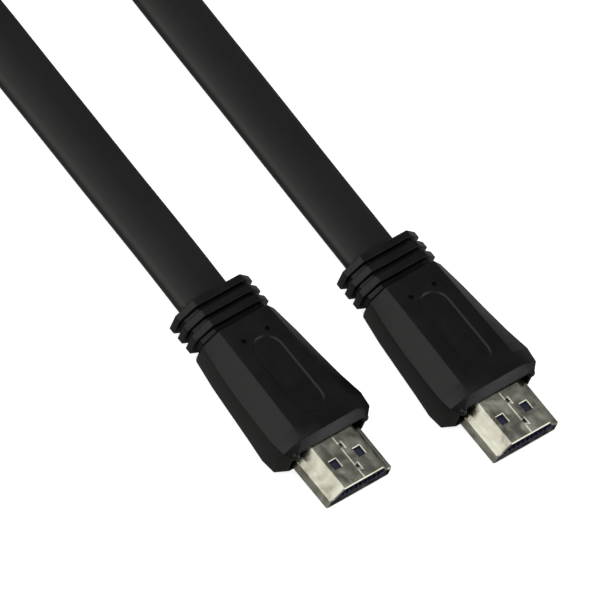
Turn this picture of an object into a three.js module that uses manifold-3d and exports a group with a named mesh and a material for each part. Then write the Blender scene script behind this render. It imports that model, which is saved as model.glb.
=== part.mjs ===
// Flat digital video cable: two moulded plugs with ribbed strain reliefs joined by one
// flat cable, whose spare length is wound into a hank behind the plugs.
// Millimetres, +Z up. Plug axes run along X, with the mating ends towards +X. The origin
// is on the table, at the middle of the two plugs.

import * as THREE from "three";
import { mergeVertices } from "three/addons/utils/BufferGeometryUtils.js";
import Module from "manifold-3d";

const wasm = await Module();
wasm.setup();

// Plug placement
const plugStep = new THREE.Vector2(7.6, 31.2);
const mouldHalfHeight = 4.55;

// Metal shell: half section from the axis, wide side down
const shellTopHalfWidth = 4.43;
const shellSlopeHalfWidth = 5.85;
const shellHalfWidth = 6.95;
const shellHalfHeight = 2.225;
const shellShoulderZ = 0.45;
const shellWallTopZ = 0.15;
const shellWall = 0.35;
const shellBend = 0.4;
const shellExposed = 9.3;
const shellInset = 3.0;

// Latch holes in the shell
const latchX = -4.7;
const latchY = 2.66;
const latchLength = 1.75;
const latchWidth = 1.5;
const latchFloorWall = 0.12;

// Insulator and its slot
const insulatorClearance = 0.12;
const insulatorSetback = 0.35;
const slotHalfWidth = 5.7;
const slotTopZ = 0.7;
const slotBottomZ = -0.6;
const slotDepth = 8.0;

// Contacts
const contactPitch = 1.0;
const lowerContacts = 10;
const upperContacts = 9;
const contactWidth = 0.45;
const contactHeight = 0.5;
const contactSetback = 0.55;
const contactClearance = 0.07;

// Moulded body: x behind the tip, half width, half width of the flat top, upper and
// lower edge of the side band
const bodyStations = [
  [10.6, 9.7, 6.0, 2.6, 3.3],
  [13.4, 10.05, 5.95, 2.6, 3.3],
  [18.0, 9.6, 5.85, 2.05, 3.2],
  [23.5, 9.2, 5.72, 1.65, 3.0],
  [29.0, 8.7, 5.6, 1.6, 2.95],
  [34.4, 7.95, 5.47, 1.6, 2.8],
];
const edgeSoftness = 0.35;
const noseHalfWidth = 8.5;
const noseHalfHeight = 2.75;
const noseFlatHalfWidth = 7.6;
const noseSideZ = 1.9;
const rearChamfer = 0.5;

// Recess round the shell
const recessGapY = 0.3;
const recessGapZ = 0.2;
const recessRadius = 0.9;
const shellSeatGap = 0.3;

// Oval panel and ejector marks on the top
const ovalFrontX = 13.6;
const ovalRearX = 30.2;
const ovalRadius = 3.05;
const ovalDepth = 0.25;
const markX = 30.7;
const markY = 2.62;
const markRadius = 0.45;
const markDepth = 0.3;

// Strain relief: flat rings on a core
const ringCount = 3;
const ringPitch = 2.25;
const ringThickness = 1.4;
const grooveWidth = 0.9;
const ringHalfWidth = 8.15;
const ringTopHalfWidth = 5.3;
const ringUpperZ = 1.5;
const ringLowerZ = 2.4;
const ringHalfHeight = 4.3;
const ringChamfer = 0.25;
const coreHalfWidth = 7.2;
const coreTopHalfWidth = 4.7;
const coreSideZ = 1.2;
const coreHalfHeight = 2.9;

// Flat cable
const cableHalfWidth = 5.3;
const cableHalfThickness = 1.9;

// Hank: the cable stands on its edge and spirals inwards round a racetrack
const hankPitch = 4.1;
const hankOuterRadius = 46.77;
const hankStraight = 31.5;
const hankNearX = -169;
const hankEntryAngle = 40;
const hankExitX = -200;
const hankTurns = 3;

// Tie round one side of the hank
const tieX = -184.75;
const tieLength = 8;
const tieThickness = 0.5;
const tieGap = 0.3;

// Colours
const mouldColour = 0x1b1b1c;
const shellColour = 0x9a9a8c;
const insulatorColour = 0x1c2135;
const contactColour = 0xc9a24e;
const cableColour = 0x252725;
const tieColour = 0x2c2c2c;

const mouldEnd = bodyStations.at(-1)[0] + rearChamfer + grooveWidth
  + (ringCount - 1) * ringPitch + ringThickness;

// Solids and booleans
function solid(geometry) {
  const bare = geometry.index ? geometry.toNonIndexed() : geometry.clone();
  bare.deleteAttribute("normal");
  bare.deleteAttribute("uv");
  const merged = mergeVertices(bare, 1e-4);
  return new wasm.Manifold(new wasm.Mesh({
    numProp: 3,
    vertProperties: new Float32Array(merged.attributes.position.array),
    triVerts: new Uint32Array(merged.index.array),
  }));
}

function geometryOf(manifold) {
  const mesh = manifold.getMesh();
  const geometry = new THREE.BufferGeometry();
  geometry.setAttribute("position", new THREE.BufferAttribute(mesh.vertProperties, 3));
  geometry.setIndex(new THREE.BufferAttribute(mesh.triVerts, 1));
  geometry.computeVertexNormals();
  return geometry;
}

function cut(geometry, tools) {
  let body = solid(geometry);
  for (const tool of tools) body = body.subtract(solid(tool));
  return geometryOf(body);
}

// A section drawn in Y and Z, extruded along X from x0 to x1
function prismX(shape, x0, x1, curveSegments = 8) {
  const depth = Math.abs(x1 - x0);
  const geometry = new THREE.ExtrudeGeometry(shape, { depth, bevelEnabled: false, curveSegments });
  const toRow = new THREE.Matrix4().makeBasis(
    new THREE.Vector3(0, 1, 0),
    new THREE.Vector3(0, 0, 1),
    new THREE.Vector3(1, 0, 0),
  );
  geometry.applyMatrix4(toRow);
  geometry.translate(Math.min(x0, x1), 0, 0);
  return geometry;
}

function boxAt(x0, x1, y0, y1, z0, z1) {
  const geometry = new THREE.BoxGeometry(x1 - x0, y1 - y0, z1 - z0);
  geometry.translate((x0 + x1) / 2, (y0 + y1) / 2, (z0 + z1) / 2);
  return geometry;
}

// Corners of a closed outline rounded by short arcs
function roundedPath(points, radius, steps = 3) {
  const out = [];
  const count = points.length;
  for (let i = 0; i < count; i += 1) {
    const here = points[i];
    const before = points[(i + count - 1) % count].clone().sub(here);
    const after = points[(i + 1) % count].clone().sub(here);
    const angle = Math.acos(before.dot(after) / (before.length() * after.length()));
    const reach = Math.min(radius / Math.tan(angle / 2), before.length() * 0.45, after.length() * 0.45);
    const start = here.clone().addScaledVector(before.normalize(), reach);
    const end = here.clone().addScaledVector(after.normalize(), reach);
    const curve = new THREE.QuadraticBezierCurve(start, here, end);
    out.push(...curve.getPoints(steps));
  }
  return out;
}

// An outline moved inwards by a distance (counterclockwise corners)
function insetPath(points, distance) {
  const count = points.length;
  return points.map((here, i) => {
    const before = here.clone().sub(points[(i + count - 1) % count]).normalize();
    const after = points[(i + 1) % count].clone().sub(here).normalize();
    const normal = new THREE.Vector2(-before.y - after.y, before.x + after.x).normalize();
    const scale = distance / normal.dot(new THREE.Vector2(-before.y, before.x));
    return here.clone().addScaledVector(normal, scale);
  });
}

function shellPath(inset) {
  const corners = [
    [shellHalfWidth, -shellHalfHeight],
    [shellHalfWidth, shellWallTopZ],
    [shellSlopeHalfWidth, shellShoulderZ],
    [shellTopHalfWidth, shellHalfHeight],
    [-shellTopHalfWidth, shellHalfHeight],
    [-shellSlopeHalfWidth, shellShoulderZ],
    [-shellHalfWidth, shellWallTopZ],
    [-shellHalfWidth, -shellHalfHeight],
  ].map(([y, z]) => new THREE.Vector2(y, z));
  return roundedPath(insetPath(corners, inset), Math.max(shellBend - inset, 0.12));
}

// An octagon with softened corners, one loop of the moulding
function mouldLoop(x, half, topHalf, upperZ, lowerZ, height, soft) {
  const corners = [
    [half, -lowerZ],
    [half, upperZ],
    [topHalf, height],
    [-topHalf, height],
    [-half, upperZ],
    [-half, -lowerZ],
    [-topHalf, -height],
    [topHalf, -height],
  ].map(([y, z]) => new THREE.Vector2(y, z));
  return roundedPath(corners, soft, 1).map((p) => new THREE.Vector3(x, p.x, p.y));
}

// A closed skin over loops with the same number of points, from the rear forwards
function loft(loops) {
  const count = loops[0].length;
  const positions = [];
  const index = [];
  for (const loop of loops) for (const p of loop) positions.push(p.x, p.y, p.z);
  for (let row = 0; row + 1 < loops.length; row += 1) {
    for (let i = 0; i < count; i += 1) {
      const j = (i + 1) % count;
      const a = row * count + i;
      const b = row * count + j;
      index.push(a, b, b + count, a, b + count, a + count);
    }
  }
  for (const [row, flip] of [[0, true], [loops.length - 1, false]]) {
    const centre = positions.length / 3;
    const middle = new THREE.Vector3();
    for (const p of loops[row]) middle.addScaledVector(p, 1 / count);
    positions.push(middle.x, middle.y, middle.z);
    for (let i = 0; i < count; i += 1) {
      const a = row * count + i;
      const b = row * count + ((i + 1) % count);
      if (flip) index.push(centre, b, a);
      else index.push(centre, a, b);
    }
  }
  const geometry = new THREE.BufferGeometry();
  geometry.setAttribute("position", new THREE.Float32BufferAttribute(positions, 3));
  geometry.setIndex(index);
  return geometry;
}

function makeMould() {
  const coreLoop = (x) => mouldLoop(
    x, coreHalfWidth, coreTopHalfWidth, coreSideZ, coreSideZ, coreHalfHeight, edgeSoftness,
  );
  const ringLoop = (x, inset) => mouldLoop(
    x, ringHalfWidth - inset, ringTopHalfWidth - inset, ringUpperZ, ringLowerZ,
    ringHalfHeight - inset, edgeSoftness,
  );
  const loops = [];
  for (let i = ringCount - 1; i >= 0; i -= 1) {
    const back = -mouldEnd + (ringCount - 1 - i) * ringPitch;
    const front = back + ringThickness;
    loops.push(ringLoop(back, ringChamfer));
    loops.push(ringLoop(back + ringChamfer, 0));
    loops.push(ringLoop(front - ringChamfer, 0));
    loops.push(ringLoop(front, ringChamfer));
    loops.push(coreLoop(front));
    const next = i > 0 ? back + ringPitch : front + grooveWidth;
    loops.push(coreLoop(next));
  }
  const [rearX, rearHalf, rearTop, rearUpper, rearLower] = bodyStations.at(-1);
  loops.push(mouldLoop(
    -rearX - rearChamfer, rearHalf - rearChamfer, rearTop - rearChamfer, rearUpper, rearLower,
    mouldHalfHeight - rearChamfer, edgeSoftness,
  ));
  for (const [x, half, topHalf, upperZ, lowerZ] of [...bodyStations].reverse()) {
    loops.push(mouldLoop(-x, half, topHalf, upperZ, lowerZ, mouldHalfHeight, edgeSoftness));
  }
  loops.push(mouldLoop(
    -shellExposed, noseHalfWidth, noseFlatHalfWidth, noseSideZ, noseSideZ, noseHalfHeight,
    edgeSoftness,
  ));

  const recess = [
    [shellHalfWidth + recessGapY, -shellHalfHeight - recessGapZ],
    [shellHalfWidth + recessGapY, shellHalfHeight + recessGapZ],
    [-shellHalfWidth - recessGapY, shellHalfHeight + recessGapZ],
    [-shellHalfWidth - recessGapY, -shellHalfHeight - recessGapZ],
  ].map(([y, z]) => new THREE.Vector2(y, z));
  const pocket = prismX(
    new THREE.Shape(roundedPath(recess, recessRadius)),
    -shellExposed - shellInset - shellSeatGap, -shellExposed + 2,
  );

  const oval = new THREE.Shape();
  oval.absarc(-ovalFrontX - ovalRadius, 0, ovalRadius, -Math.PI / 2, Math.PI / 2);
  oval.absarc(-ovalRearX + ovalRadius, 0, ovalRadius, Math.PI / 2, 3 * Math.PI / 2);
  const panel = new THREE.ExtrudeGeometry(
    oval, { depth: ovalDepth + 1, bevelEnabled: false, curveSegments: 12 },
  );
  panel.translate(0, 0, mouldHalfHeight - ovalDepth);

  const marks = [-markY, markY].map((y) => {
    const mark = new THREE.CylinderGeometry(markRadius, markRadius, markDepth + 1, 10);
    mark.rotateX(Math.PI / 2);
    mark.translate(-markX, y, mouldHalfHeight - markDepth + (markDepth + 1) / 2);
    return mark;
  });
  return cut(loft(loops), [pocket, panel, ...marks]);
}

function latchTools(zInner, zOuter) {
  const tools = [];
  for (const side of [-1, 1]) {
    for (const y of [-latchY, latchY]) {
      const z0 = side > 0 ? zInner : -zOuter;
      const z1 = side > 0 ? zOuter : -zInner;
      tools.push(boxAt(
        latchX - latchLength / 2, latchX + latchLength / 2,
        y - latchWidth / 2, y + latchWidth / 2, z0, z1,
      ));
    }
  }
  return tools;
}

function makeShell() {
  const outline = new THREE.Shape(shellPath(0));
  outline.holes.push(new THREE.Path(shellPath(shellWall).reverse()));
  const tube = prismX(outline, -shellExposed - shellInset, 0);
  return cut(tube, latchTools(shellHalfHeight - shellWall - 0.1, shellHalfHeight + 1));
}

// Contact rows: centre lines in Y, and the slot face that each row lies behind
function contactRows() {
  const rows = [];
  for (let i = 0; i < lowerContacts; i += 1) {
    rows.push({ y: (i - (lowerContacts - 1) / 2) * contactPitch, side: -1 });
  }
  for (let i = 0; i < upperContacts; i += 1) {
    rows.push({ y: (i - (upperContacts - 1) / 2) * contactPitch, side: 1 });
  }
  return rows;
}

function contactBand(side) {
  const face = side > 0 ? slotTopZ : slotBottomZ;
  const near = face + side * contactClearance;
  const far = near + side * contactHeight;
  return [Math.min(near, far), Math.max(near, far), face];
}

function makeInsulator() {
  const rear = -shellExposed - shellInset;
  const front = -insulatorSetback;
  const slotEnd = front - slotDepth;
  const outline = new THREE.Shape(shellPath(shellWall + insulatorClearance));
  const tools = [
    boxAt(slotEnd, front + 1, -slotHalfWidth, slotHalfWidth, slotBottomZ, slotTopZ),
  ];
  for (const { y, side } of contactRows()) {
    const [low, high, face] = contactBand(side);
    const half = contactWidth / 2 + contactClearance;
    const z0 = side > 0 ? face - 0.2 : low - contactClearance;
    const z1 = side > 0 ? high + contactClearance : face + 0.2;
    tools.push(boxAt(slotEnd, front + 1, y - half, y + half, z0, z1));
  }
  const latchTop = shellHalfHeight - shellWall - insulatorClearance;
  const grooveTop = Math.max(slotTopZ, -slotBottomZ) + contactHeight + 2 * contactClearance;
  tools.push(...latchTools(grooveTop + latchFloorWall, latchTop + 1));
  return cut(prismX(outline, rear, front), tools);
}

function makeContact(y, side) {
  const [low, high] = contactBand(side);
  const front = -insulatorSetback - contactSetback;
  const rear = -insulatorSetback - slotDepth + contactClearance;
  return boxAt(rear, front, y - contactWidth / 2, y + contactWidth / 2, low, high);
}

// Flat cable section: width across the first axis, thickness across the second
function cableSection() {
  const w = cableHalfWidth;
  const t = cableHalfThickness;
  const quarter = [[w, t * 0.35], [w - t * 0.3, t * 0.78], [w - t * 0.75, t]];
  const corners = [
    ...quarter,
    ...quarter.map(([a, b]) => [-a, b]).reverse(),
    ...quarter.map(([a, b]) => [-a, -b]),
    ...quarter.map(([a, b]) => [a, -b]).reverse(),
  ];
  return new THREE.Shape(corners.map(([a, b]) => new THREE.Vector2(a, b)));
}

// A route through points [x, y, z, roll], where roll 0 lies flat and 90 stands on edge
class CableRoute extends THREE.CatmullRomCurve3 {
  constructor(rows) {
    super(rows.map(([x, y, z]) => new THREE.Vector3(x, y, z)));
    this.rolls = rows.map((row) => row[3]);
  }

  computeFrenetFrames(segments) {
    const tangents = [];
    const normals = [];
    const binormals = [];
    for (let i = 0; i <= segments; i += 1) {
      const t = this.getUtoTmapping(i / segments);
      const at = t * (this.rolls.length - 1);
      const k = Math.min(Math.floor(at), this.rolls.length - 2);
      const roll = THREE.MathUtils.degToRad(THREE.MathUtils.lerp(this.rolls[k], this.rolls[k + 1], at - k));
      const tangent = this.getTangent(t);
      const side = new THREE.Vector3(0, 0, 1).cross(tangent).normalize();
      const up = tangent.clone().cross(side);
      tangents.push(tangent);
      normals.push(side.clone().multiplyScalar(Math.cos(roll)).addScaledVector(up, Math.sin(roll)));
      binormals.push(up.clone().multiplyScalar(Math.cos(roll)).addScaledVector(side, -Math.sin(roll)));
    }
    return { tangents, normals, binormals };
  }
}

function makeRun(rows, steps) {
  return new THREE.ExtrudeGeometry(
    cableSection(), { steps, extrudePath: new CableRoute(rows), bevelEnabled: false },
  );
}

// Hank track: a phase of 1 is one turn, starting where the near end meets the +Y side
function hankPoint(phase, entry, offset) {
  const mean = hankOuterRadius - hankPitch * (hankTurns + 0.7) / 2;
  const around = 2 * hankStraight + 2 * Math.PI * mean;
  const straight = hankStraight / around;
  const bend = Math.PI * mean / around;
  const radius = hankOuterRadius - hankPitch * (phase - entry) + offset;
  const farX = hankNearX - hankStraight;
  const q = phase - Math.floor(phase);
  if (q < bend) {
    const a = Math.PI / 2 - Math.PI * q / bend;
    return new THREE.Vector2(hankNearX + radius * Math.cos(a), radius * Math.sin(a));
  }
  if (q < bend + straight) {
    return new THREE.Vector2(hankNearX - hankStraight * (q - bend) / straight, -radius);
  }
  if (q < 2 * bend + straight) {
    const a = -Math.PI / 2 - Math.PI * (q - bend - straight) / bend;
    return new THREE.Vector2(farX + radius * Math.cos(a), radius * Math.sin(a));
  }
  return new THREE.Vector2(farX + hankStraight * (q - 2 * bend - straight) / straight, radius);
}

function hankPhases() {
  const mean = hankOuterRadius - hankPitch * (hankTurns + 0.7) / 2;
  const around = 2 * hankStraight + 2 * Math.PI * mean;
  const straight = hankStraight / around;
  const bend = Math.PI * mean / around;
  const entry = bend * (90 + hankEntryAngle) / 180;
  const along = (hankExitX - (hankNearX - hankStraight)) / hankStraight;
  return [entry, hankTurns + 2 * bend + straight + straight * along];
}

function makeHank() {
  const [entry, exit] = hankPhases();
  const steps = 56;
  const outer = [];
  const inner = [];
  for (let i = 0; i <= steps; i += 1) {
    outer.push(hankPoint(entry + i / steps, entry, cableHalfThickness));
    inner.push(hankPoint(exit - 1 + i / steps, entry, -cableHalfThickness));
  }
  const outline = new THREE.Shape(outer.reverse());
  outline.holes.push(new THREE.Path(inner));
  const body = new THREE.ExtrudeGeometry(
    outline, { depth: 2 * cableHalfWidth, bevelEnabled: false },
  );
  const notch = boxAt(
    tieX - tieLength / 2 - tieGap, tieX + tieLength / 2 + tieGap,
    -hankOuterRadius - 10, 0, -1, tieThickness + tieGap,
  );
  return cut(body, [notch]);
}

function makeTie() {
  const [entry, exit] = hankPhases();
  const reach = hankOuterRadius + cableHalfThickness + tieGap;
  const inside = hankOuterRadius - hankPitch * (exit - entry) - cableHalfThickness - tieGap;
  const top = 2 * cableHalfWidth + tieGap;
  const loop = (grow) => [
    [-inside + grow, tieThickness - grow],
    [-inside + grow, top + grow],
    [-reach - grow, top + grow],
    [-reach - grow, tieThickness - grow],
  ].map(([y, z]) => new THREE.Vector2(y, z));
  const band = new THREE.Shape(roundedPath(loop(tieThickness), 2 * tieThickness, 2));
  band.holes.push(new THREE.Path(roundedPath(loop(0), tieThickness, 2).reverse()));
  return prismX(band, tieX - tieLength / 2, tieX + tieLength / 2);
}

// Routes from each strain relief to the hank, as [x, y, z, roll]
const routeA = [
  [-24.95, -15.6, 3.5, 0],
  [-30, -15.4, 3.5, 0],
  [-40, -14.95, 3.15, 0],
  [-52, -14.5, 2.6, 0],
  [-64, -14.1, 2.3, 0],
  [-76, -13.8, 2.1, 0],
  [-86, -13.5, 1.95, 0],
  [-91, -13.4, 2.25, 6],
  [-98, -13.3, 3.2, 22],
  [-106, -14.1, 4.2, 42],
  [-114, -16.4, 5.0, 64],
  [-122, -20.36, 5.3, 84],
  [-128, -24.8, 5.3, 90],
  [-132.95, -29.82, 5.3, 90],
];
const routeB = [
  [-17.35, 15.6, 3.5, 0],
  [-26, 15.85, 3.35, 0],
  [-38, 16.4, 2.85, 0],
  [-50, 16.95, 2.45, 0],
  [-64, 17.35, 2.2, 0],
  [-76, 17.65, 2.1, 0],
  [-84, 17.75, 2.4, 0],
  [-92, 17.75, 3.9, 0],
  [-102, 17.8, 7.6, 0],
  [-112, 17.85, 11.4, 0],
  [-121, 18.0, 12.9, 0],
  [-130, 18.4, 12.95, 0],
  [-140, 19.0, 12.95, 0],
  [-146, 19.5, 12.9, -2],
  [-152, 20.5, 12.2, -14],
  [-160, 22.2, 9.8, -40],
  [-168, 24.3, 7.4, -62],
  [-176, 26.6, 5.9, -78],
  [-184, 29.0, 5.4, -88],
  [-192, 31.0, 5.3, -90],
  [-199.7, 31.8, 5.3, -90],
];

// Scene graph
const object = new THREE.Group();

function add(parent, name, geometry, colour, roughness, metalness) {
  const material = new THREE.MeshStandardMaterial({ color: colour, roughness, metalness });
  const mesh = new THREE.Mesh(geometry, material);
  mesh.name = name;
  parent.add(mesh);
  return mesh;
}

for (const [letter, sign] of [["a", -1], ["b", 1]]) {
  const plug = new THREE.Group();
  const tipX = (mouldEnd + sign * plugStep.x) / 2;
  plug.position.set(tipX, sign * plugStep.y / 2, mouldHalfHeight);
  add(plug, `plug_${letter}_overmold`, makeMould(), mouldColour, 0.6, 0);
  add(plug, `plug_${letter}_shell`, makeShell(), shellColour, 0.3, 1);
  add(plug, `plug_${letter}_insulator`, makeInsulator(), insulatorColour, 0.5, 0);
  contactRows().forEach(({ y, side }, i) => {
    const name = `plug_${letter}_contact_${String(i + 1).padStart(2, "0")}`;
    add(plug, name, makeContact(y, side), contactColour, 0.3, 1);
  });
  object.add(plug);
}

add(object, "cable_run_a", makeRun(routeA, 18), cableColour, 0.55, 0);
add(object, "cable_run_b", makeRun(routeB, 34), cableColour, 0.55, 0);
add(object, "cable_hank", makeHank(), cableColour, 0.55, 0);
add(object, "hank_tie", makeTie(), tieColour, 0.6, 0);

export default object;
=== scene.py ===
# %% [markdown]
# # A flat digital video cable
# The object is one flat cable with a moulded plug on each end. The two plugs lie side by side,
# and the spare cable behind them is wound into a hank. The solid model fixes every size and
# place. This lesson gives each piece its real surface, and starts by loading that model.

# %% Load the solid model and set each part's placement into its mesh
import math

import bmesh
import bpy
from mathutils import Matrix, Vector


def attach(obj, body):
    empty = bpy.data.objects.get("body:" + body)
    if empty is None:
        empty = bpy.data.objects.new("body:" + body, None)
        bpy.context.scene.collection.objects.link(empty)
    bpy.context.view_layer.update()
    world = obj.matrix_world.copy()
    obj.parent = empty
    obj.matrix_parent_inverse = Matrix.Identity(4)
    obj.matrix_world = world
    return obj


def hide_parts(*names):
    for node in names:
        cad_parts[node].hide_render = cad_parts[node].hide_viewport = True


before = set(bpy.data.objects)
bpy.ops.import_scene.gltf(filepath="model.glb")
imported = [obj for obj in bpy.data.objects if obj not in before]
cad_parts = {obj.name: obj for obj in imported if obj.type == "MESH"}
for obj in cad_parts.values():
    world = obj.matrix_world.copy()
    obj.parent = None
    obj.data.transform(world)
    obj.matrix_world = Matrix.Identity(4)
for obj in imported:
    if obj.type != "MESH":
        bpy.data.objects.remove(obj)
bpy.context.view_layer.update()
bpy.ops.object.select_all(action="DESELECT")
MM = 0.001

# %% [markdown]
# ## The camera
# Parallel edges of the cable stay the same distance apart along their whole length, so the
# picture was taken from far away with a long lens. The three axes below are the directions of
# the picture's right side, its top and the way back to the camera. A very long lens far away
# keeps those parallels and still is an ordinary camera.

# %% Place the camera on the picture's line of sight
to_right = Vector((0.6093, 0.7489, 0.2605))
to_top = Vector((-0.7391, 0.4173, 0.5288))
to_camera = to_right.cross(to_top).normalized()
to_right = to_top.cross(to_camera).normalized()
to_top = to_camera.cross(to_right).normalized()
aim = Vector((-15.66, -1.49, 4.54)) * MM
view_width = 102.36 * MM
camera_data = bpy.data.cameras.new("long_lens")
camera_data.lens = 1200.0
camera_data.sensor_width = 36.0
camera_distance = view_width * camera_data.lens / camera_data.sensor_width
camera_data.clip_start = camera_distance * 0.1
camera_data.clip_end = camera_distance * 8
camera = bpy.data.objects.new("long_lens", camera_data)
bpy.context.collection.objects.link(camera)
turn = Matrix((to_right, to_top, to_camera)).transposed().to_4x4()
camera.matrix_world = Matrix.Translation(aim + to_camera * camera_distance) @ turn
bpy.context.scene.camera = camera
print("camera", round(camera_distance, 3), "m away")

# %% [markdown]
# ## The route of the cable
# A flat cable bends easily across its thin side and hardly at all across its width. So it lies
# flat where it is straight, twists a quarter turn, and winds up standing on its edge. The two
# free stretches follow listed points, and the turns of the hank come from a loop that
# goes round a racetrack and moves inwards by just over one thickness on every turn.

# %% Points of the two free stretches, in millimetres, with the roll in degrees
RUN_A = [
    (-24.2, -15.6, 3.5, 0), (-30, -15.4, 3.5, 0), (-40, -14.95, 3.15, 0), (-52, -14.5, 2.6, 0),
    (-64, -14.1, 2.3, 0), (-76, -13.8, 2.1, 0), (-86, -13.5, 1.95, 0), (-91, -13.4, 2.25, 6),
    (-98, -13.3, 3.2, 22), (-106, -14.1, 4.2, 42), (-114, -16.4, 5.0, 64),
    (-122, -20.36, 5.3, 84), (-128, -24.8, 5.3, 90),
]
RUN_B = [
    (-192, 31.0, 5.3, 90), (-184, 29.0, 5.4, 88), (-176, 26.6, 5.9, 78), (-168, 24.3, 7.4, 62),
    (-160, 22.2, 9.8, 40), (-152, 20.5, 12.2, 14), (-146, 19.5, 12.9, 2), (-140, 19.0, 12.95, 0),
    (-130, 18.4, 12.95, 0), (-121, 18.0, 12.9, 0), (-112, 17.85, 11.4, 0), (-102, 17.8, 7.6, 0),
    (-92, 17.75, 3.9, 0), (-84, 17.75, 2.4, 0), (-76, 17.65, 2.1, 0), (-64, 17.35, 2.2, 0),
    (-50, 16.95, 2.45, 0), (-38, 16.4, 2.85, 0), (-26, 15.85, 3.35, 0), (-16.6, 15.6, 3.5, 0),
]
HANK_PITCH = 4.1
HANK_RADIUS = 46.77
HANK_STRAIGHT = 31.5
HANK_NEAR_X = -169.0
HANK_EXIT_X = -200.0
HANK_TURNS = 3
HANK_ENTRY_DEGREES = 130
HANK_STEPS_PER_TURN = 96
ROUTE_STEP = 2.4
TIE_X = -184.75
TIE_RISE = 0.8
TIE_REACH = 16
CABLE_HALF_WIDTH = 5.3
CABLE_HALF_THICKNESS = 1.9


def hank_points():
    """The turns of the hank from the outside in, standing on edge."""
    mean = HANK_RADIUS - HANK_PITCH * (HANK_TURNS + 0.7) / 2
    around = 2 * HANK_STRAIGHT + 2 * math.pi * mean
    straight = HANK_STRAIGHT / around
    bend = math.pi * mean / around
    far_x = HANK_NEAR_X - HANK_STRAIGHT
    first = bend * HANK_ENTRY_DEGREES / 180
    last = HANK_TURNS + 2 * bend + straight + straight * (HANK_EXIT_X - far_x) / HANK_STRAIGHT
    points = []
    steps = int((last - first) * HANK_STEPS_PER_TURN)
    for step in range(steps + 1):
        phase = first + (last - first) * step / steps
        radius = HANK_RADIUS - HANK_PITCH * (phase - first)
        q = phase % 1.0
        if q < bend:
            angle = math.pi / 2 - math.pi * q / bend
            x, y = HANK_NEAR_X + radius * math.cos(angle), radius * math.sin(angle)
        elif q < bend + straight:
            x, y = HANK_NEAR_X - HANK_STRAIGHT * (q - bend) / straight, -radius
        elif q < 2 * bend + straight:
            angle = -math.pi / 2 - math.pi * (q - bend - straight) / bend
            x, y = far_x + radius * math.cos(angle), radius * math.sin(angle)
        else:
            x, y = far_x + HANK_STRAIGHT * (q - 2 * bend - straight) / straight, radius
        near_tie = max(0.0, 1 - ((x - TIE_X) / TIE_REACH) ** 2) ** 2 if y < -20 else 0.0
        points.append((x, y, CABLE_HALF_WIDTH + TIE_RISE * near_tie, 90))
    return points


# %% Join them into one evenly stepped line
def smooth_through(rows, per_span=8):
    """A Catmull-Rom curve through rows of numbers."""
    out = []
    for i in range(len(rows) - 1):
        p0, p1 = rows[max(i - 1, 0)], rows[i]
        p2, p3 = rows[i + 1], rows[min(i + 2, len(rows) - 1)]
        for k in range(per_span):
            t = k / per_span
            out.append(tuple(
                0.5 * (2 * b + (c - a) * t + (2 * a - 5 * b + 4 * c - d) * t * t
                       + (3 * b - a - 3 * c + d) * t ** 3)
                for a, b, c, d in zip(p0, p1, p2, p3)))
    out.append(tuple(rows[-1]))
    return out


def even_steps(rows, step):
    """The same line with points an even distance apart."""
    lengths = [0.0]
    for a, b in zip(rows, rows[1:]):
        lengths.append(lengths[-1] + math.dist(a[:3], b[:3]))
    count = max(2, round(lengths[-1] / step))
    out, k = [], 0
    for i in range(count + 1):
        want = lengths[-1] * i / count
        while k + 2 < len(lengths) and lengths[k + 1] < want:
            k += 1
        t = (want - lengths[k]) / max(lengths[k + 1] - lengths[k], 1e-9)
        out.append(tuple(a + (b - a) * t for a, b in zip(rows[k], rows[k + 1])))
    return out


route = smooth_through(RUN_A) + hank_points() + smooth_through(RUN_B)
route = even_steps(route, ROUTE_STEP)
for _ in range(3):
    middle = [
        tuple((a + 2 * b + c) / 4 for a, b, c in zip(route[i - 1], route[i], route[i + 1]))
        for i in range(1, len(route) - 1)
    ]
    route = [route[0]] + middle + [route[-1]]
cable_length = sum(math.dist(a[:3], b[:3]) for a, b in zip(route, route[1:])) * MM
print("cable", len(route), "rings,", round(cable_length, 4), "m")

# %% [markdown]
# ## The cable itself
# The jacket is a soft flat strip, 10.6 mm wide and 3.8 mm thick, with round edges. One ring of
# points is drawn as its section and repeated along the route, turned by the roll. The map keeps
# the distance round the section and along the cable, so that the jacket's grain follows it.

# %% Draw the section and sweep it
CROWN = 0.029
EDGE_RADIUS = 1.43
EDGE_TURN = math.radians(76.3)


def cable_section():
    """Round edges that run smoothly into a gently crowned top and underside."""
    points = []
    middle = CABLE_HALF_WIDTH - EDGE_RADIUS
    for k in range(13):
        angle = EDGE_TURN * (1 - k / 6)
        points.append((middle + EDGE_RADIUS * math.cos(angle), EDGE_RADIUS * math.sin(angle)))
    for across in (2.8, 1.4, 0.0, -1.4, -2.8):
        points.append((across, -CABLE_HALF_THICKNESS + CROWN * across ** 2))
    mirror = [(-y, -z) for y, z in points]
    return points + mirror


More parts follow.
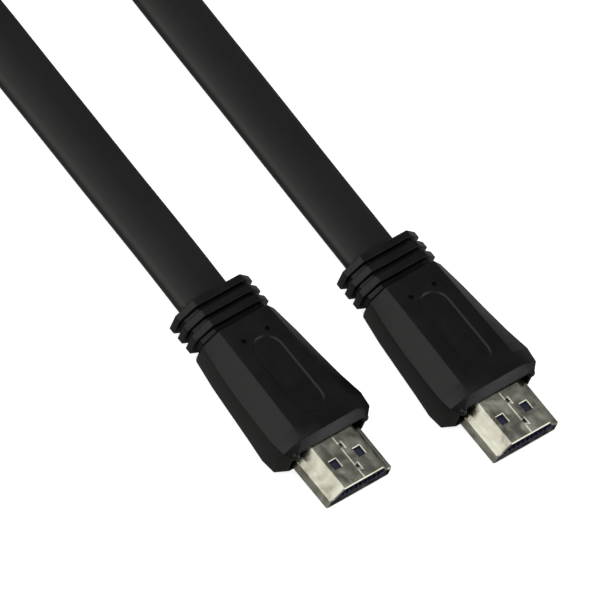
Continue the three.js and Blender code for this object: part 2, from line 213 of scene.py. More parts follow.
def sweep_cable(name, rows, outline):
    """Rings of the outline along the rows, closed at both ends."""
    mesh = bpy.data.meshes.new(name)
    cable = bmesh.new()
    layer = cable.loops.layers.uv.new("jacket")
    rings, along = [], [0.0]
    for a, b in zip(rows, rows[1:]):
        along.append(along[-1] + math.dist(a[:3], b[:3]) * MM)
    for i, row in enumerate(rows):
        ahead = Vector(rows[min(i + 1, len(rows) - 1)][:3])
        behind = Vector(rows[max(i - 1, 0)][:3])
        tangent = (ahead - behind).normalized()
        side = Vector((0, 0, 1)).cross(tangent).normalized()
        up = tangent.cross(side)
        roll = math.radians(row[3])
        across = side * math.cos(roll) + up * math.sin(roll)
        through = up * math.cos(roll) - side * math.sin(roll)
        here = Vector(row[:3])
        rings.append([
            cable.verts.new((here + across * y + through * z) * MM) for y, z in outline
        ])
    count = len(outline)
    for i in range(len(rings) - 1):
        for k in range(count):
            j = (k + 1) % count
            face = cable.faces.new(
                (rings[i][k], rings[i][j], rings[i + 1][j], rings[i + 1][k]))
            face.smooth = True
            corners = ((k, i), (k + 1, i), (k + 1, i + 1), (k, i + 1))
            for loop, (around, step) in zip(face.loops, corners):
                loop[layer].uv = (around / count, along[step])
    cable.faces.new(list(reversed(rings[0])))
    cable.faces.new(rings[-1])
    bmesh.ops.recalc_face_normals(cable, faces=cable.faces)
    cable.to_mesh(mesh)
    cable.free()
    made = bpy.data.objects.new(name, mesh)
    bpy.context.collection.objects.link(made)
    return made


flat_cable = sweep_cable("flat_cable", route, cable_section())
print("flat cable", len(flat_cable.data.polygons), "faces")

# %% [markdown]
# ## Tools of the bench
# The plugs are small, so they are modelled in millimetres round the plug's own axis, with the
# tip at zero, and taken to metres and to their place when they are finished. Every outline of
# a plug has eight corners in four matching pairs, left and right. A loop of eight corners is
# extruded forwards and its pairs are pushed to the next outline, as one would by hand.

# %% Helpers for selecting, shaping and finishing
PLUG_TIPS = {"a": (17.05, -15.6, 4.55), "b": (24.65, 15.6, 4.55)}


def use_only(piece):
    """Make one piece the selected and active one."""
    if bpy.context.mode != "OBJECT":
        bpy.ops.object.mode_set(mode="OBJECT")
    bpy.ops.object.select_all(action="DESELECT")
    piece.select_set(True)
    bpy.context.view_layer.objects.active = piece


def edit(piece):
    """Go into edit mode with nothing selected."""
    use_only(piece)
    bpy.ops.object.mode_set(mode="EDIT")
    bpy.ops.mesh.select_mode(type="VERT")
    bpy.ops.mesh.select_all(action="DESELECT")


def pick(piece, indices):
    """Select exactly these vertices."""
    skin = bmesh.from_edit_mesh(piece.data)
    skin.verts.ensure_lookup_table()
    bpy.ops.mesh.select_all(action="DESELECT")
    for i in indices:
        skin.verts[i].select_set(True)
    skin.select_flush(True)
    bmesh.update_edit_mesh(piece.data)


def pick_edges(piece, test):
    """Select the edges whose two ends pass the test, and count them."""
    bpy.ops.mesh.select_mode(type="EDGE")
    bpy.ops.mesh.select_all(action="DESELECT")
    skin = bmesh.from_edit_mesh(piece.data)
    count = 0
    for edge in skin.edges:
        if test(edge.verts[0].co, edge.verts[1].co):
            edge.select_set(True)
            count += 1
    bmesh.update_edit_mesh(piece.data)
    return count


def apply_modifier(piece, kind, **values):
    """Add a modifier, set it and apply it."""
    use_only(piece)
    bpy.ops.object.modifier_add(type=kind)
    modifier = piece.modifiers[-1]
    for key, value in values.items():
        setattr(modifier, key, value)
    bpy.ops.object.modifier_apply(modifier=modifier.name)


def cut_with(piece, cutter, operation="DIFFERENCE"):
    """Cut with a tool, or join it, and throw the tool away."""
    apply_modifier(piece, "BOOLEAN", object=cutter, operation=operation, solver="EXACT")
    bpy.data.objects.remove(cutter, do_unlink=True)


def block(name, low, high, radius=0.0, steps=3, axis="Z"):
    """A box between two corners, with the edges along one axis rounded."""
    middle = [(a + b) / 2 for a, b in zip(low, high)]
    bpy.ops.mesh.primitive_cube_add(size=1, location=middle)
    made = bpy.context.active_object
    made.name = name
    made.scale = [b - a for a, b in zip(low, high)]
    bpy.ops.object.transform_apply(location=True, rotation=True, scale=True)
    if radius:
        edit(made)
        k = "XYZ".index(axis)
        pick_edges(made, lambda a, b: abs(a[k] - b[k]) > 1e-4
                   and all(abs(a[j] - b[j]) < 1e-5 for j in range(3) if j != k))
        bpy.ops.mesh.bevel(offset=radius, segments=steps, affect="EDGES")
        bpy.ops.object.mode_set(mode="OBJECT")
    return made


def octagon_loft(name, loops):
    """Extrude eight corners from loop to loop. A loop is x and four (y, z) pairs."""
    bpy.ops.mesh.primitive_circle_add(
        vertices=8, radius=5, fill_type="NGON",
        location=(loops[0][0], 0, 0), rotation=(0, math.pi / 2, 0))
    made = bpy.context.active_object
    made.name = name
    bpy.ops.object.transform_apply(location=True, rotation=True, scale=True)
    edit(made)
    bpy.ops.mesh.select_all(action="SELECT")
    bpy.ops.transform.rotate(value=math.pi / 8, orient_axis="X",
                             center_override=(loops[0][0], 0, 0))
    for number, (x, pairs) in enumerate(loops):
        if number:
            bpy.ops.mesh.extrude_region_move(
                TRANSFORM_OT_translate={"value": (x - loops[number - 1][0], 0, 0)})
        skin = bmesh.from_edit_mesh(made.data)
        skin.verts.index_update()
        ring = sorted((v for v in skin.verts if v.select), key=lambda v: -v.co.z)
        if number == 0:
            rows = [[v.index for v in ring[i:i + 2]] for i in (0, 2, 4, 6)]
            now = [(abs(ring[i].co.y), ring[i].co.z) for i in (0, 2, 4, 6)]
        else:
            left = {v.index: (abs(v.co.y), v.co.z) for v in ring}
            rows = []
            for y, z in now:
                near = sorted(left, key=lambda i: math.dist(left[i], (y, z)))[:2]
                rows.append(near)
                for i in near:
                    del left[i]
        for row, (y0, z0), (y1, z1) in zip(rows, now, pairs):
            if abs(y1 - y0) < 1e-6 and abs(z1 - z0) < 1e-6:
                continue
            pick(made, row)
            bpy.ops.transform.resize(value=(1, y1 / y0, 1), center_override=(x, 0, 0))
            bpy.ops.transform.translate(value=(0, 0, z1 - z0))
        now = list(pairs)
        pick(made, [i for row in rows for i in row])
    bpy.ops.mesh.select_all(action="SELECT")
    bpy.ops.mesh.normals_make_consistent(inside=False)
    bpy.ops.object.mode_set(mode="OBJECT")
    return made


def tell(piece):
    """Print the size, faces and open edges of a piece."""
    skin = bmesh.new()
    skin.from_mesh(piece.data)
    loose = sum(1 for edge in skin.edges if not edge.is_manifold)
    print(piece.name, [round(v, 3) for v in piece.dimensions], len(skin.faces), "faces,",
          loose, "open edges, volume", round(skin.calc_volume(), 4))
    skin.free()


def place_copies(master, what):
    """One finished copy on each plug, each with its own mesh, in metres and in place."""
    made = {}
    for letter, tip in PLUG_TIPS.items():
        use_only(master)
        bpy.ops.object.duplicate(linked=False)
        copy = bpy.context.active_object
        copy.name = f"{what}_{letter}"
        copy.data.name = copy.name
        copy.scale = (MM, MM, MM)
        copy.location = Vector(tip) * MM
        bpy.ops.object.transform_apply(location=True, rotation=True, scale=True)
        made[letter] = copy
    bpy.data.objects.remove(master, do_unlink=True)
    return made


# %% [markdown]
# ## The moulding
# Body, core and strain-relief rings are one black moulding. Its section is an eight-sided
# shape: flat on top and below, with long bevels and an upright band down each side. The rings
# are the same shape at a smaller size, with deep grooves down to a flat core between them, so
# the whole piece can be drawn as one run of outlines from the last ring to the nose.

# %% Outlines from the rear ring to the nose
def moulding(half, top_half, upper, lower, height):
    """The corners of one side, from the top down, in millimetres."""
    return [(top_half, height), (half, upper), (half, -lower), (top_half, -height)]


RING = moulding(8.15, 5.3, 1.5, 2.4, 4.3)
CORE = moulding(7.2, 4.7, 1.2, 1.2, 2.9)
RING_BACKS = (-41.7, -39.45, -37.2)
RING_LENGTH = 1.3
RING_PITCH = 2.25
BODY_REAR = -34.9
NOSE_X = -9.3
TOP_Z = 4.55
mould_loops = []
for back in RING_BACKS:
    front = back + RING_LENGTH
    mould_loops += [(back, RING), (front, RING), (front, CORE), (back + RING_PITCH, CORE)]
mould_loops[-1] = (BODY_REAR, CORE)
mould_loops += [
    (BODY_REAR, moulding(7.45, 4.97, 1.6, 2.8, 4.05)),
    (-34.4, moulding(7.95, 5.47, 1.6, 2.8, TOP_Z)),
    (-29.0, moulding(8.7, 5.6, 1.6, 2.95, TOP_Z)),
    (-23.5, moulding(9.2, 5.72, 1.65, 3.0, TOP_Z)),
    (-18.0, moulding(9.6, 5.85, 2.05, 3.2, TOP_Z)),
    (-13.4, moulding(10.05, 5.95, 2.6, 3.3, TOP_Z)),
    (-10.6, moulding(9.7, 6.0, 2.6, 3.3, TOP_Z)),
    (NOSE_X, moulding(8.5, 7.6, 1.9, 1.9, 2.75)),
]
overmold = octagon_loft("overmold", mould_loops)
apply_modifier(overmold, "BEVEL", width=0.42, segments=3, limit_method="ANGLE",
               angle_limit=math.radians(28))
tell(overmold)

# %% [markdown]
# The nose has a pocket round the root of the metal shell, and a small round boss shows in its
# upper corners. The top has a shallow oval panel with sloping walls, which catch the light as a
# thin line, and two small round ejector marks. Each is cut with a tool of its shape.

# %% Cut the pocket, the panel and the marks
cut_with(overmold, block("pocket", (-12.6, -7.25, -2.425), (-7.0, 7.25, 2.425), 0.9, 5, "X"))
cut_with(overmold, block("mouth", (-10.9, -7.9, -2.3), (-7.0, 7.9, 2.3), 0.9, 5, "X"))


def oval_tool():
    """A shallow bowl with round ends and sloping walls."""
    radius, rear, front, deep = 3.05, -30.2, -13.6, 0.25
    bpy.ops.mesh.primitive_cone_add(
        vertices=64, radius1=radius - 0.28, radius2=radius + 0.82, depth=1.0,
        location=(rear + radius, 0, TOP_Z - deep + 0.5), rotation=(0, 0, math.pi / 64))
    tool = bpy.context.active_object
    bpy.ops.object.transform_apply(location=True, rotation=True, scale=True)
    edit(tool)
    skin = bmesh.from_edit_mesh(tool.data)
    pick(tool, [v.index for v in skin.verts if v.co.x > rear + radius])
    bpy.ops.transform.translate(value=(front - rear - 2 * radius, 0, 0))
    bpy.ops.object.mode_set(mode="OBJECT")
    return tool


cut_with(overmold, oval_tool())
for side in (-2.75, 2.5):
    bpy.ops.mesh.primitive_cylinder_add(
        vertices=20, radius=0.47, depth=1.2, location=(-30.7, side, TOP_Z))
    cut_with(overmold, bpy.context.active_object)
for side in (-1, 1):
    bpy.ops.mesh.primitive_uv_sphere_add(
        segments=20, ring_count=12, radius=0.75, location=(-9.45, side * 7.7, 2.05))
    cut_with(overmold, bpy.context.active_object, "UNION")
edit(overmold)
rim = pick_edges(overmold, lambda a, b: all(
    abs(p.x - NOSE_X) < 0.02 and abs(p.y) < 7.95 and abs(p.z) < 2.45 for p in (a, b)))
bpy.ops.mesh.bevel(offset=0.14, segments=2, affect="EDGES")
bpy.ops.object.mode_set(mode="OBJECT")
bpy.ops.object.shade_smooth_by_angle(angle=math.radians(32))
tell(overmold)
print("pocket rim edges", rim)
overmolds = place_copies(overmold, "overmold")

# %% [markdown]
# ## The metal shell
# The shell is thin sheet folded into a D, with its narrow side up. Its two ends meet along a
# seam in the top, held by two small dovetails, and each latch hole is a clean oblong punch.
# Solidify could give a folded sheet its thickness. Here the outside and the hollow are drawn
# as two long outlines instead, because that keeps the wall even and the rim's chamfer sharp.

# %% Draw the shell's outside and cut its hollow
SHELL = [(4.43, 2.225), (5.85, 0.45), (6.95, 0.15), (6.95, -2.225)]
SHELL_REAR = -12.3
SHEET = 0.35
LIP = 0.17
LATCH_X = -4.7
LATCH_Y = 2.66
LATCH_HALF_LENGTH = 0.875
LATCH_HALF_WIDTH = 0.75
SEAM_Y = 0.15
DOVETAILS = (-7.7, -3.05)


def inset(pairs, distance):
    """The D outline moved inwards by one distance all round."""
    full = [Vector(p) for p in pairs] + [Vector((-y, z)) for y, z in reversed(pairs)]
    out = []
    for i, here in enumerate(full):
        before = (here - full[i - 1]).normalized()
        after = (full[(i + 1) % len(full)] - here).normalized()
        normal = Vector((before.y + after.y, -before.x - after.x)).normalized()
        out.append(here + normal * distance / normal.dot(Vector((before.y, -before.x))))
    return [tuple(p) for p in out[:4]]


def soften_folds(piece, radius, steps):
    """Round the edges that run along the plug."""
    edit(piece)
    pick_edges(piece, lambda a, b: abs(a.y - b.y) < 0.3 and abs(a.z - b.z) < 0.3
               and abs(a.x - b.x) > 0.02)
    bpy.ops.mesh.bevel(offset=radius, segments=steps, affect="EDGES", clamp_overlap=False)
    bpy.ops.object.mode_set(mode="OBJECT")


shell = octagon_loft(
    "shell", [(SHELL_REAR, SHELL), (-LIP, SHELL), (0.0, inset(SHELL, LIP))])
soften_folds(shell, 0.2, 3)
hollow = octagon_loft("hollow", [(-13.0, inset(SHELL, SHEET)), (0.5, inset(SHELL, SHEET))])
soften_folds(hollow, 0.08, 2)
cut_with(shell, hollow)
tell(shell)

# %% [markdown]
# A punch leaves a small soft edge round each hole, and the seam is a fine V-shaped line.
# Both catch the light as thin bright lines, so both tools are drawn with sloping sides: they
# cut the hole and its soft edge in one stroke.

# %% Punch the latch holes and cut the dovetailed seam
def flare(tool, height, spread):
    """Extrude the top face of a tool upwards and widen it."""
    edit(tool)
    skin = bmesh.from_edit_mesh(tool.data)
    top = max(v.co.z for v in skin.verts)
    pick(tool, [v.index for v in skin.verts if v.co.z > top - 1e-4])
    middle = sum((v.co for v in skin.verts if v.select), Vector()) / 4
    wide = max(v.co.x for v in skin.verts) - min(v.co.x for v in skin.verts)
    deep = max(v.co.y for v in skin.verts) - min(v.co.y for v in skin.verts)
    bpy.ops.mesh.select_mode(type="FACE")
    bpy.ops.mesh.extrude_region_move(TRANSFORM_OT_translate={"value": (0, 0, height)})
    bpy.ops.transform.resize(value=((wide + 2 * spread) / wide, (deep + 2 * spread) / deep, 1),
                             center_override=middle)
    bpy.ops.object.mode_set(mode="OBJECT")
    return tool


def latch_block(name, side, low, high):
    """A block as long and wide as one latch hole, between two heights."""
    return block(name, (LATCH_X - LATCH_HALF_LENGTH, side * LATCH_Y - LATCH_HALF_WIDTH, low),
                 (LATCH_X + LATCH_HALF_LENGTH, side * LATCH_Y + LATCH_HALF_WIDTH, high))


for side in (-1, 1):
    for flip in (-1, 1):
        punch = flare(latch_block("punch", side, 1.4, 2.1), 0.25, 0.25)
        if flip < 0:
            punch.rotation_euler = (math.pi, 0, 0)
            use_only(punch)
            bpy.ops.object.transform_apply(location=True, rotation=True, scale=True)
        cut_with(shell, punch)


def seam_tool():
    """A V-shaped blade that follows the seam with its two dovetails."""
    line = [(-13.0, SEAM_Y)]
    for start in DOVETAILS:
        line += [(start + 0.25, SEAM_Y), (start, 0.95),
                 (start + 1.4, 0.95), (start + 1.15, SEAM_Y)]
    line.append((1.0, SEAM_Y))
    bpy.ops.mesh.primitive_plane_add(size=0.01, location=(*line[0], 2.105))
    blade = bpy.context.active_object
    blade.name = "seam_blade"
    bpy.ops.object.transform_apply(location=True, rotation=True, scale=True)
    edit(blade)
    bpy.ops.mesh.select_all(action="SELECT")
    bpy.ops.mesh.merge(type="CENTER")
    for (x0, y0), (x1, y1) in zip(line, line[1:]):
        bpy.ops.mesh.extrude_vertices_move(
            TRANSFORM_OT_translate={"value": (x1 - x0, y1 - y0, 0)})
    bpy.ops.mesh.select_all(action="SELECT")
    bpy.ops.mesh.extrude_region_move(TRANSFORM_OT_translate={"value": (0, 0, 0.24)})
    bpy.ops.object.mode_set(mode="OBJECT")
    apply_modifier(blade, "SOLIDIFY", thickness=0.5, offset=0, use_even_offset=True)
    edit(blade)
    for corner in line:
        skin = bmesh.from_edit_mesh(blade.data)
        skin.verts.index_update()
        pick(blade, [v.index for v in skin.verts if v.co.z < 2.2
                     and min(line, key=lambda p: math.dist(p, v.co[:2])) == corner])
        bpy.ops.mesh.merge(type="CENTER")
    bpy.ops.mesh.select_all(action="SELECT")
    bpy.ops.mesh.normals_make_consistent(inside=False)
    bpy.ops.object.mode_set(mode="OBJECT")
    tell(blade)
    return blade


cut_with(shell, seam_tool())
for start in DOVETAILS:
    cut_with(shell, block("notch", (start + 0.25, 0.28, 1.7), (start + 0.85, 0.78, 2.6)))
use_only(shell)
bpy.ops.object.shade_smooth_by_angle(angle=math.radians(32))
tell(shell)
shells = place_copies(shell, "shell")

# %% [markdown]
# ## The insulator and its contacts
# A block of navy plastic fills the shell, set back a little from the rim. It has a wide slot
# for the socket's tongue, and one groove for each contact: ten below the slot and nine above
# it, half a step apart. The contacts are narrow gilt springs with a raised nose.

# %% Cut the slot and the grooves
FILL = inset(SHELL, 0.47)
SLOT_REAR = -8.35
insulator = octagon_loft("insulator", [(SHELL_REAR, FILL), (-0.35, FILL)])
edit(insulator)
pick_edges(insulator, lambda a, b: abs(a.x - b.x) > 1)
bpy.ops.mesh.bevel(offset=0.15, segments=2, affect="EDGES")
bpy.ops.object.mode_set(mode="OBJECT")
cut_with(insulator, block("slot", (SLOT_REAR, -5.7, -0.6), (1.0, 5.7, 0.7), 0.2, 2, "X"))
contact_rows = [(k - 4.5, -1) for k in range(10)] + [(k - 4.0, 1) for k in range(9)]
for y, side in contact_rows:
    low, high = (-1.24, -0.4) if side < 0 else (0.5, 1.34)
    cut_with(insulator, block("groove", (SLOT_REAR, y - 0.295, low), (1.0, y + 0.295, high)))
for side in (-1, 1):
    for flip in (-1, 1):
        low, high = (1.46, 2.4) if flip > 0 else (-2.4, -1.46)
        cut_with(insulator, latch_block("pocket", side, low, high))
apply_modifier(insulator, "BEVEL", width=0.05, segments=1, limit_method="ANGLE",
               angle_limit=math.radians(60))
use_only(insulator)
bpy.ops.object.shade_smooth_by_angle(angle=math.radians(30))
tell(insulator)
insulators = place_copies(insulator, "insulator")

# %% Bend one contact and set it in every groove
bpy.ops.mesh.primitive_grid_add(x_subdivisions=12, y_subdivisions=1, size=1,
                                location=(-4.59, 0, 0))
spring = bpy.context.active_object
spring.name = "spring"
spring.scale = (7.36, 0.44, 1)
bpy.ops.object.transform_apply(location=True, rotation=True, scale=True)
edit(spring)
columns = sorted({round(v.co.x, 4) for v in spring.data.vertices})
SPRING_DROP = 0.14
profile = [0.0, 0.0, 0.0, 0.01, 0.03, 0.06, 0.1, 0.16, 0.22, 0.26, 0.24, 0.14, 0.02]
for x, rise in zip(columns, profile):
    skin = bmesh.from_edit_mesh(spring.data)
    pick(spring, [v.index for v in skin.verts if abs(v.co.x - x) < 1e-3])
    bpy.ops.transform.translate(value=(0, 0, rise - SPRING_DROP))
bpy.ops.object.mode_set(mode="OBJECT")
apply_modifier(spring, "SOLIDIFY", thickness=0.16, offset=0, use_even_offset=True)
apply_modifier(spring, "BEVEL", width=0.03, segments=1, limit_method="ANGLE",
               angle_limit=math.radians(50))
bpy.ops.object.shade_smooth_by_angle(angle=math.radians(40))
tell(spring)

ROW_HEIGHTS = {-1: -0.92, 1: 1.02}
contacts = {}
for letter, tip in PLUG_TIPS.items():
    for number, (y, side) in enumerate(contact_rows, 1):
        use_only(spring)
        bpy.ops.object.duplicate(linked=False)
        contact = bpy.context.active_object
        contact.name = f"contact_{letter}_{number:02d}"
        contact.data.name = contact.name
        if side > 0:
            contact.rotation_euler = (math.pi, 0, 0)
        contact.scale = (MM, MM, MM)
        contact.location = (Vector(tip) + Vector((0, y, ROW_HEIGHTS[side]))) * MM
        bpy.ops.object.transform_apply(location=True, rotation=True, scale=True)
        contacts[f"plug_{letter}_contact_{number:02d}"] = contact
bpy.data.objects.remove(spring, do_unlink=True)
print("contacts", len(contacts))

# %% [markdown]
# ## The tie
# A woven strap holds one side of the hank. It goes round the turns and its tail lies over
# itself on top. The cable's turns lift a little there, because the strap passes under them.

# %% Wrap the strap
strap = block("strap", (TIE_X - 4, -48.95, 0.52), (TIE_X + 4, -29.6, 11.65), 1.2, 5, "X")
edit(strap)
bpy.ops.mesh.select_mode(type="FACE")
skin = bmesh.from_edit_mesh(strap.data)
for face in skin.faces:
    face.select_set(abs(face.normal.x) > 0.9)
bmesh.update_edit_mesh(strap.data)
bpy.ops.mesh.delete(type="FACE")
bpy.ops.object.mode_set(mode="OBJECT")
apply_modifier(strap, "SOLIDIFY", thickness=0.5, offset=1, use_even_offset=True)
tail = block("tail", (TIE_X - 3.9, -45.0, 12.2), (TIE_X + 3.9, -33.5, 12.7), 1.4, 5, "Z")
cut_with(strap, tail, "UNION")
apply_modifier(strap, "BEVEL", width=0.12, segments=2, limit_method="ANGLE",
               angle_limit=math.radians(40))
use_only(strap)
bpy.ops.object.shade_smooth_by_angle(angle=math.radians(35))
strap.scale = (MM, MM, MM)
bpy.ops.object.transform_apply(location=True, rotation=True, scale=True)
tell(strap)

# %% [markdown]
# ## Finishes
# Two effects serve more than one finish, so each is built once as a group: a fine grain with
# a slow mottle for everything moulded or jacketed, and a cloudy, lightly scratched sheen for
# everything in metal. Both read the object's own coordinates, so they stay with the piece.

# %% Node helpers and the shared grain
def node(tree, kind, x=0, y=0, **values):
    """Add a node, place it and set its inputs or settings."""
    made = tree.nodes.new(kind)
    made.location = (x, y)
    for key, value in values.items():
        if key in made.inputs:
            made.inputs[key].default_value = value
        else:
            setattr(made, key, value)
    return made


def group_with(name, inputs, outputs):
    """A shader group with named value sockets."""
    tree = bpy.data.node_groups.new(name, "ShaderNodeTree")
    for label, kind, value in inputs:
        socket = tree.interface.new_socket(name=label, in_out="INPUT", socket_type=kind)
        if value is not None:
            socket.default_value = value
    for label in outputs:
        tree.interface.new_socket(name=label, in_out="OUTPUT", socket_type="NodeSocketFloat")
    return tree, tree.nodes.new("NodeGroupInput"), tree.nodes.new("NodeGroupOutput")


def scaled(tree, vector, factor):
    """A vector multiplied by a socket's value."""
    made = node(tree, "ShaderNodeVectorMath", operation="SCALE")
    tree.links.new(vector, made.inputs[0])
    tree.links.new(factor, made.inputs["Scale"])
    return made.outputs[0]


grain, grain_in, grain_out = group_with(
    "moulded grain",
    [("Vector", "NodeSocketVector", None), ("Grains per metre", "NodeSocketFloat", 4000.0),
     ("Mottles per metre", "NodeSocketFloat", 250.0)],
    ["Grain", "Mottle"])
fine = node(grain, "ShaderNodeTexNoise", Scale=1.0, Detail=3.0, Roughness=0.6)
pits = node(grain, "ShaderNodeTexVoronoi", Scale=0.6)
slow = node(grain, "ShaderNodeTexNoise", Scale=1.0, Detail=4.0, Roughness=0.55)
close_up = scaled(grain, grain_in.outputs["Vector"], grain_in.outputs["Grains per metre"])
wide = scaled(grain, grain_in.outputs["Vector"], grain_in.outputs["Mottles per metre"])
grain.links.new(close_up, fine.inputs["Vector"])
grain.links.new(close_up, pits.inputs["Vector"])
grain.links.new(wide, slow.inputs["Vector"])
blend = node(grain, "ShaderNodeMath", operation="ADD")
grain.links.new(fine.outputs[0], blend.inputs[0])
grain.links.new(pits.outputs["Distance"], blend.inputs[1])
grain.links.new(blend.outputs[0], grain_out.inputs["Grain"])
grain.links.new(slow.outputs[0], grain_out.inputs["Mottle"])

# %% The shared metal sheen
sheen, sheen_in, sheen_out = group_with(
    "handled metal",
    [("Vector", "NodeSocketVector", None), ("Clouds per metre", "NodeSocketFloat", 300.0),
     ("Scratches per metre", "NodeSocketFloat", 3000.0)],
    ["Cloud", "Scratch"])
clouds = node(sheen, "ShaderNodeTexNoise", Scale=1.0, Detail=2.5, Roughness=0.5, Distortion=0.4)
lines = node(sheen, "ShaderNodeTexNoise", Scale=1.0, Detail=2.0, Roughness=0.5)
stretch = node(sheen, "ShaderNodeVectorMath", operation="MULTIPLY")
stretch.inputs[1].default_value = (0.06, 1.0, 1.0)
sheen.links.new(sheen_in.outputs["Vector"], stretch.inputs[0])
sheen.links.new(scaled(sheen, sheen_in.outputs["Vector"], sheen_in.outputs["Clouds per metre"]),
                clouds.inputs["Vector"])
sheen.links.new(scaled(sheen, stretch.outputs[0], sheen_in.outputs["Scratches per metre"]),
                lines.inputs["Vector"])
sheen.links.new(clouds.outputs[0], sheen_out.inputs["Cloud"])
sheen.links.new(lines.outputs[0], sheen_out.inputs["Scratch"])
print("groups", [group.name for group in bpy.data.node_groups])

# %% A finish for everything moulded, jacketed or woven
def ramp(tree, value, stops):
    """A colour ramp from (place, colour) stops."""
    made = node(tree, "ShaderNodeValToRGB")
    while len(made.color_ramp.elements) < len(stops):
        made.color_ramp.elements.new(0.5)
    for element, (place, colour) in zip(made.color_ramp.elements, stops):
        element.position = place
        element.color = (*colour, 1.0)
    tree.links.new(value, made.inputs[0])
    return made.outputs[0]


def spread(tree, value, low, high):
    """A value between 0 and 1 spread to another range."""
    made = node(tree, "ShaderNodeMapRange")
    made.inputs["From Min"].default_value = 0.3
    made.inputs["From Max"].default_value = 0.7
    made.inputs["To Min"].default_value = low
    made.inputs["To Max"].default_value = high
    tree.links.new(value, made.inputs["Value"])
    return made.outputs[0]


def moulded_finish(name, dark, light, rough, per_metre, mottles, depth, specular=0.5):
    """A plastic whose grain, colour and gloss vary a little over its surface."""
    material = bpy.data.materials.new(name)
    material.use_nodes = True
    tree = material.node_tree
    surface = tree.nodes["Principled BSDF"]
    surface.inputs["Specular IOR Level"].default_value = specular
    place = node(tree, "ShaderNodeTexCoord")
    effect = node(tree, "ShaderNodeGroup", node_tree=grain)
    effect.inputs["Grains per metre"].default_value = per_metre
    effect.inputs["Mottles per metre"].default_value = mottles
    tree.links.new(place.outputs["Object"], effect.inputs["Vector"])
    colour = ramp(tree, effect.outputs["Mottle"], [(0.3, dark), (0.7, light)])
    tree.links.new(colour, surface.inputs["Base Color"])
    tree.links.new(spread(tree, effect.outputs["Mottle"], rough - 0.05, rough + 0.05),
                   surface.inputs["Roughness"])
    bump = node(tree, "ShaderNodeBump", Strength=0.6, Distance=depth)
    tree.links.new(effect.outputs["Grain"], bump.inputs["Height"])
    tree.links.new(bump.outputs[0], surface.inputs["Normal"])
    return material


mould_black = moulded_finish(
    "black moulding", (0.0018, 0.0021, 0.0020), (0.0038, 0.0043, 0.0041), 0.36, 9000, 300,
    0.00002, 0.29)
navy_plastic = moulded_finish(
    "navy insulator", (0.016, 0.018, 0.046), (0.026, 0.029, 0.068), 0.4, 9000, 500, 0.000004)

# %% The jacket, whose drawing lines follow the cable
jacket = moulded_finish(
    "flat jacket", (0.0055, 0.006, 0.0055), (0.008, 0.0086, 0.008), 0.44, 8000, 120, 0.000004,
    0.42)
tree = jacket.node_tree
surface = tree.nodes["Principled BSDF"]
along = node(tree, "ShaderNodeUVMap", uv_map="jacket")
stretched = node(tree, "ShaderNodeMapping")
stretched.inputs["Scale"].default_value = (60.0, 12.0, 1.0)
streaks = node(tree, "ShaderNodeTexNoise", Scale=1.0, Detail=3.0)
tree.links.new(along.outputs[0], stretched.inputs["Vector"])
tree.links.new(stretched.outputs[0], streaks.inputs["Vector"])
tree.links.new(spread(tree, streaks.outputs[0], 0.40, 0.50), surface.inputs["Roughness"])

# %% The woven strap
weave = moulded_finish(
    "woven strap", (0.010, 0.010, 0.011), (0.024, 0.024, 0.026), 0.8, 2600, 900, 0.00008)
tree = weave.node_tree
surface = tree.nodes["Principled BSDF"]
threads = node(tree, "ShaderNodeTexWave", Scale=900.0, Distortion=1.5)
place = node(tree, "ShaderNodeTexCoord")
tree.links.new(place.outputs["Object"], threads.inputs["Vector"])
relief = node(tree, "ShaderNodeBump", Strength=0.5, Distance=0.0001)
tree.links.new(threads.outputs["Fac"], relief.inputs["Height"])
tree.links.new(relief.outputs[0], surface.inputs["Normal"])

# %% Nickel for the shell and gold for the contacts
def metal_finish(name, dark, light, low, high, clouds_per_metre, scratches):
    """A plated metal with a cloudy gloss and faint drawn scratches."""
    material = bpy.data.materials.new(name)
    material.use_nodes = True
    tree = material.node_tree
    surface = tree.nodes["Principled BSDF"]
    surface.inputs["Metallic"].default_value = 1.0
    place = node(tree, "ShaderNodeTexCoord")
    effect = node(tree, "ShaderNodeGroup", node_tree=sheen)
    effect.inputs["Clouds per metre"].default_value = clouds_per_metre
    effect.inputs["Scratches per metre"].default_value = scratches
    tree.links.new(place.outputs["Object"], effect.inputs["Vector"])
    colour = ramp(tree, effect.outputs["Cloud"], [(0.32, dark), (0.68, light)])
    tree.links.new(colour, surface.inputs["Base Color"])
    tree.links.new(spread(tree, effect.outputs["Cloud"], low, high), surface.inputs["Roughness"])
    waves = node(tree, "ShaderNodeBump", Strength=0.5, Distance=0.00022)
    tree.links.new(effect.outputs["Cloud"], waves.inputs["Height"])
    bump = node(tree, "ShaderNodeBump", Strength=0.3, Distance=0.000002)
    tree.links.new(effect.outputs["Scratch"], bump.inputs["Height"])
    tree.links.new(waves.outputs[0], bump.inputs["Normal"])
    tree.links.new(bump.outputs[0], surface.inputs["Normal"])
    return material


nickel = metal_finish(
    "nickel plate", (0.30, 0.29, 0.235), (0.66, 0.65, 0.555), 0.12, 0.46, 380, 5000)
gilt = metal_finish("gilt contact", (0.72, 0.47, 0.16), (0.85, 0.60, 0.24), 0.3, 0.18, 900, 6000)

# %% [markdown]
# ## Putting it together
# Each piece stands for the solid of the same place, rides on the object's one body and takes
# its finish.

# %% Give each piece its finish and its body, and hide the solids it replaces
def stand_for(piece, material, slot, *nodes):
    """Give a piece its finish, its body and the solids that it replaces; the slot is not used.
    """
    piece.data.materials.clear()
    piece.data.materials.append(material)
    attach(piece, "root")
    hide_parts(*nodes)


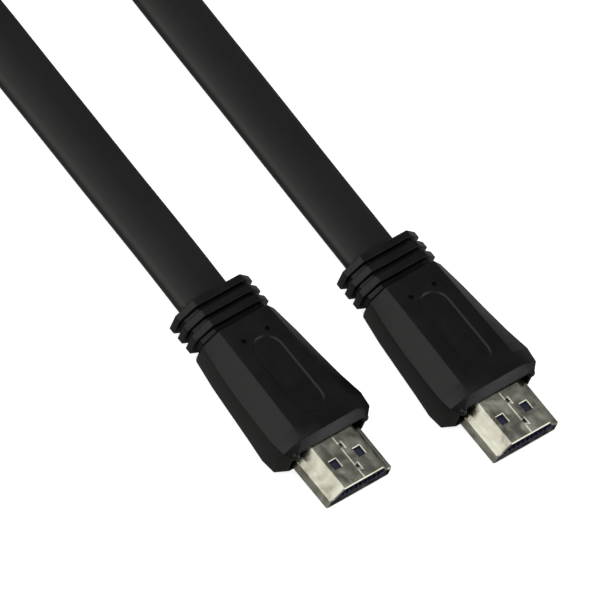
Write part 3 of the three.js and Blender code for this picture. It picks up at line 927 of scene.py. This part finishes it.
for letter in PLUG_TIPS:
    stand_for(overmolds[letter], mould_black, "overmold", f"plug_{letter}_overmold")
    stand_for(shells[letter], nickel, "shell", f"plug_{letter}_shell")
    stand_for(insulators[letter], navy_plastic, "insulator", f"plug_{letter}_insulator")
for name, contact in contacts.items():
    stand_for(contact, gilt, "contact", name)
stand_for(flat_cable, jacket, "cable", "cable_run_a", "cable_hank", "cable_run_b")
stand_for(strap, weave, "tie", "hank_tie")

# %% [markdown]
# ## Floor and light
# The picture is lit from the left by a broad soft lamp on a white ground, with darkness on the
# right, so the left bevels and the left slope of the shell shine and the tops stay dark.
# The ground and the world look white to the camera and light the object as grey, because the
# metal would lose its contrast among white surroundings.

# %% White ground and soft lamps
bpy.ops.mesh.primitive_plane_add(size=6, location=(0, 0, 0))
ground = bpy.context.active_object
ground.name = "ground"
white = bpy.data.materials.new("white ground")
white.use_nodes = True
tree = white.node_tree
paint = tree.nodes["Principled BSDF"]
paint.inputs["Base Color"].default_value = (0.38, 0.38, 0.37, 1)
paint.inputs["Roughness"].default_value = 0.9
paper = node(tree, "ShaderNodeBsdfDiffuse", Color=(0.9, 0.9, 0.9, 1))
glow = node(tree, "ShaderNodeEmission", Strength=0.72)
bright = node(tree, "ShaderNodeAddShader")
tree.links.new(paper.outputs[0], bright.inputs[0])
tree.links.new(glow.outputs[0], bright.inputs[1])
seen = node(tree, "ShaderNodeLightPath")
either = node(tree, "ShaderNodeMixShader")
tree.links.new(seen.outputs["Is Camera Ray"], either.inputs[0])
tree.links.new(paint.outputs[0], either.inputs[1])
tree.links.new(bright.outputs[0], either.inputs[2])
tree.links.new(either.outputs[0], tree.nodes["Material Output"].inputs["Surface"])
ground.data.materials.append(white)


def lamp(name, direction, distance, size, power, colour=(1, 1, 1)):
    """A square lamp that looks at the plugs."""
    data = bpy.data.lights.new(name, "AREA")
    data.shape = "RECTANGLE"
    data.size, data.size_y = size
    data.energy = power
    data.color = colour
    made = bpy.data.objects.new(name, data)
    way = Vector(direction).normalized()
    made.location = way * distance
    made.rotation_euler = way.to_track_quat("Z", "Y").to_euler()
    made.visible_camera = False
    bpy.context.collection.objects.link(made)
    return made


lamp("left_window", (-0.31, -0.58, 0.76), 1.0, (1.4, 1.9), 10.0, (1.0, 0.99, 0.96))
lamp("front_window", (0.82, 0.5, 0.24), 1.1, (0.8, 0.8), 4.0)
lamp("camera_fill", (0.35, -0.5, 0.8), 1.5, (0.5, 0.5), 3.0)
world = bpy.data.worlds.new("studio")
world.use_nodes = True
tree = world.node_tree
backdrop = tree.nodes["Background"]
backdrop.inputs["Color"].default_value = (1, 1, 1, 1)
seen = node(tree, "ShaderNodeLightPath")
strength = node(tree, "ShaderNodeMapRange")
strength.inputs["To Min"].default_value = 0.22
strength.inputs["To Max"].default_value = 0.95
tree.links.new(seen.outputs["Is Camera Ray"], strength.inputs["Value"])
tree.links.new(strength.outputs[0], backdrop.inputs["Strength"])
bpy.context.scene.world = world
bpy.context.scene.view_settings.view_transform = "Standard"
